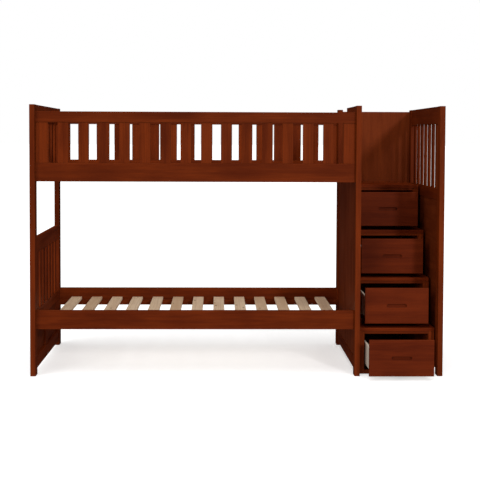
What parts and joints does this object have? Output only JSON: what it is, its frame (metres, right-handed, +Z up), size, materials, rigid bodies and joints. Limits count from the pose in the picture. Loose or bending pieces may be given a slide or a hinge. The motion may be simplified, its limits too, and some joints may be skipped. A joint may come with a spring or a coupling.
{
  "type": "bunk bed",
  "caption": "Wooden twin over twin bunk bed with slatted guards and ends, and a staircase whose steps are drawers that slide out.",
  "frame": {"origin": "on the floor, under the centre of the whole object's box with its drawers 200 mm open", "axes": "+X from the left end to the staircase, +Y from the front to the back, +Z up"},
  "size_m": [2.499, 1.198, 1.64],
  "materials": {
    "cherry_frame": "satin dark cherry stain",
    "cherry_panel": "satin dark cherry stained plywood",
    "cherry_tread": "satin dark cherry stain",
    "cherry_drawer_front": "satin dark cherry stain",
    "pale_wood": "natural, unfinished",
    "slide_steel": "zinc plated",
    "fasteners": "zinc plated"
  },
  "bodies": {
    "frame": {"barrel_nuts": "fasteners", "bed_bolts": "fasteners", "bed_slats": "pale_wood", "drawer_runners": "pale_wood", "end_dowels": "pale_wood", "face_rails": "cherry_frame", "face_stiles": "cherry_frame", "guard_rails": "cherry_frame", "guard_slats": "cherry_frame", "left_back_post": "cherry_frame", "left_end_bottom_rail": "cherry_frame", "left_end_lower_slats": "cherry_frame", "left_end_middle_rail": "cherry_frame", "left_end_muntin": "cherry_frame", "left_end_panel": "cherry_panel", "left_end_top_rail": "cherry_frame", "left_end_upper_rail": "cherry_frame", "left_end_upper_slats": "cherry_frame", "left_end_window_rail": "cherry_frame", "left_front_post": "cherry_frame", "lower_back_rail": "cherry_frame", "lower_front_rail": "cherry_frame", "middle_back_post": "cherry_frame", "middle_end_bottom_rail": "cherry_frame", "middle_end_entry_post": "cherry_frame", "middle_end_panel": "cherry_panel", "middle_end_sill_rail": "cherry_frame", "middle_end_slats": "cherry_frame", "middle_end_top_rail": "cherry_frame", "middle_front_post": "cherry_frame", "right_back_post": "cherry_frame", "right_end_bottom_rail": "cherry_frame", "right_end_middle_rail": "cherry_frame", "right_end_panel": "cherry_panel", "right_end_slats": "cherry_frame", "right_end_top_rail": "cherry_frame", "right_front_post": "cherry_frame", "slat_ledgers": "cherry_frame", "slide_channels": "slide_steel", "stair_panels": "cherry_panel", "stair_sides": "cherry_panel", "treads": "cherry_tread", "upper_back_rail": "cherry_frame", "upper_front_rail": "cherry_frame"},
    "drawer_1": {"drawer_1_bottom": "pale_wood", "drawer_1_front": "cherry_drawer_front", "drawer_1_slide": "slide_steel", "drawer_1_walls": "pale_wood"},
    "drawer_2": {"drawer_2_bottom": "pale_wood", "drawer_2_front": "cherry_drawer_front", "drawer_2_slide": "slide_steel", "drawer_2_walls": "pale_wood"},
    "drawer_3": {"drawer_3_bottom": "pale_wood", "drawer_3_front": "cherry_drawer_front", "drawer_3_slide": "slide_steel", "drawer_3_walls": "pale_wood"},
    "drawer_4": {"drawer_4_bottom": "pale_wood", "drawer_4_front": "cherry_drawer_front", "drawer_4_slide": "slide_steel", "drawer_4_walls": "pale_wood"}
  },
  "joints": [
    {"name": "drawer_1_slide", "type": "slide", "parent": "frame", "child": "drawer_1", "axis": [0, -1, 0], "range_m": [-0.2, 0.06]},
    {"name": "drawer_2_slide", "type": "slide", "parent": "frame", "child": "drawer_2", "axis": [0, -1, 0], "range_m": [-0.2, 0.06]},
    {"name": "drawer_3_slide", "type": "slide", "parent": "frame", "child": "drawer_3", "axis": [0, -1, 0], "range_m": [-0.2, 0.06]},
    {"name": "drawer_4_slide", "type": "slide", "parent": "frame", "child": "drawer_4", "axis": [0, -1, 0], "range_m": [-0.2, 0.06]}
  ]
}
